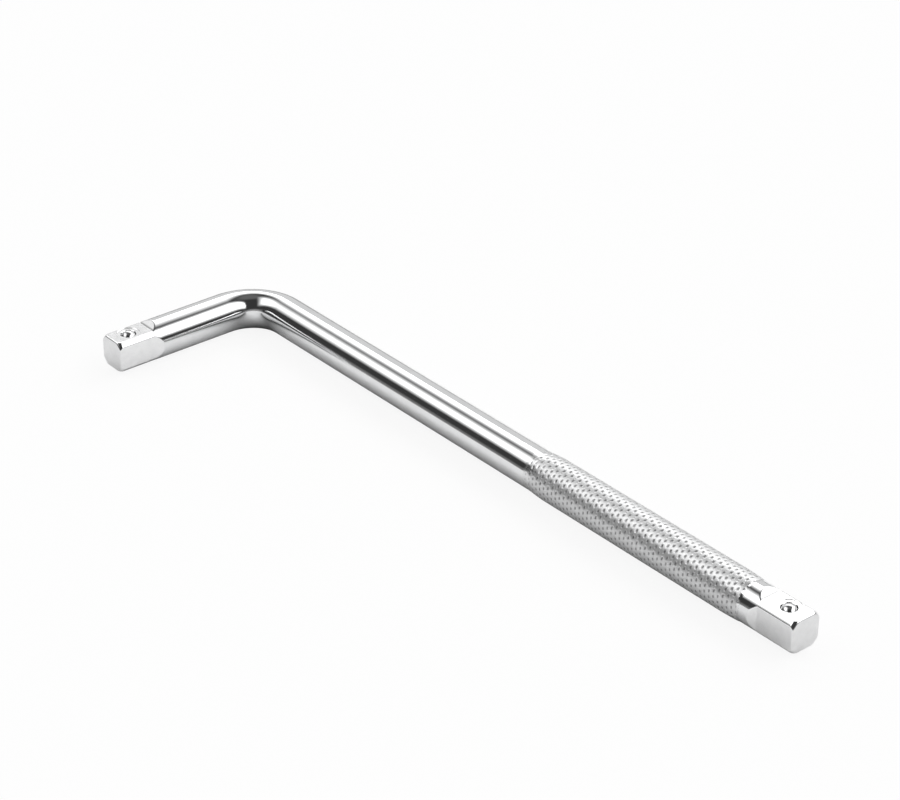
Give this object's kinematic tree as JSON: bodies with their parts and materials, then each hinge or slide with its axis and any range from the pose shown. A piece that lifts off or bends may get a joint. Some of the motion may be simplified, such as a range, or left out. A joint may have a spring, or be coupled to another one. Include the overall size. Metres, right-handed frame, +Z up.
{
  "type": "l-handle wrench",
  "caption": "Chromed round bar bent to a right angle, with a knurled grip and a square socket drive with a spring-loaded detent ball at each end, for turning sockets.",
  "frame": {"origin": "middle of the underside of the whole L as it lies flat", "axes": "+X along the long leg towards its drive, -Y along the short leg towards its drive, +Z up, the way both detent balls face"},
  "size_m": [0.313, 0.08, 0.017],
  "materials": {
    "chrome_bar": "bright chrome plating, mirror-smooth on the round bar, a little duller on the squares and in the knurl",
    "ball_steel": "polished hardened steel ball",
    "spring_steel": "drawn spring wire"
  },
  "bodies": {
    "handle": {"handle_bar": "chrome_bar", "long_drive_spring": "spring_steel", "short_drive_spring": "spring_steel"},
    "long_ball": {"long_drive_ball": "ball_steel"},
    "short_ball": {"short_drive_ball": "ball_steel"}
  },
  "joints": [
    {"name": "long_ball_press", "type": "slide", "parent": "handle", "child": "long_ball", "axis": [0, 0, -1], "range_m": [0, 0.001], "stiffness_N_per_m": 4000, "springref_m": -0.001, "deforming": ["long_drive_spring"]},
    {"name": "short_ball_press", "type": "slide", "parent": "handle", "child": "short_ball", "axis": [0, 0, -1], "range_m": [0, 0.001], "stiffness_N_per_m": 4000, "springref_m": -0.001, "deforming": ["short_drive_spring"]}
  ]
}
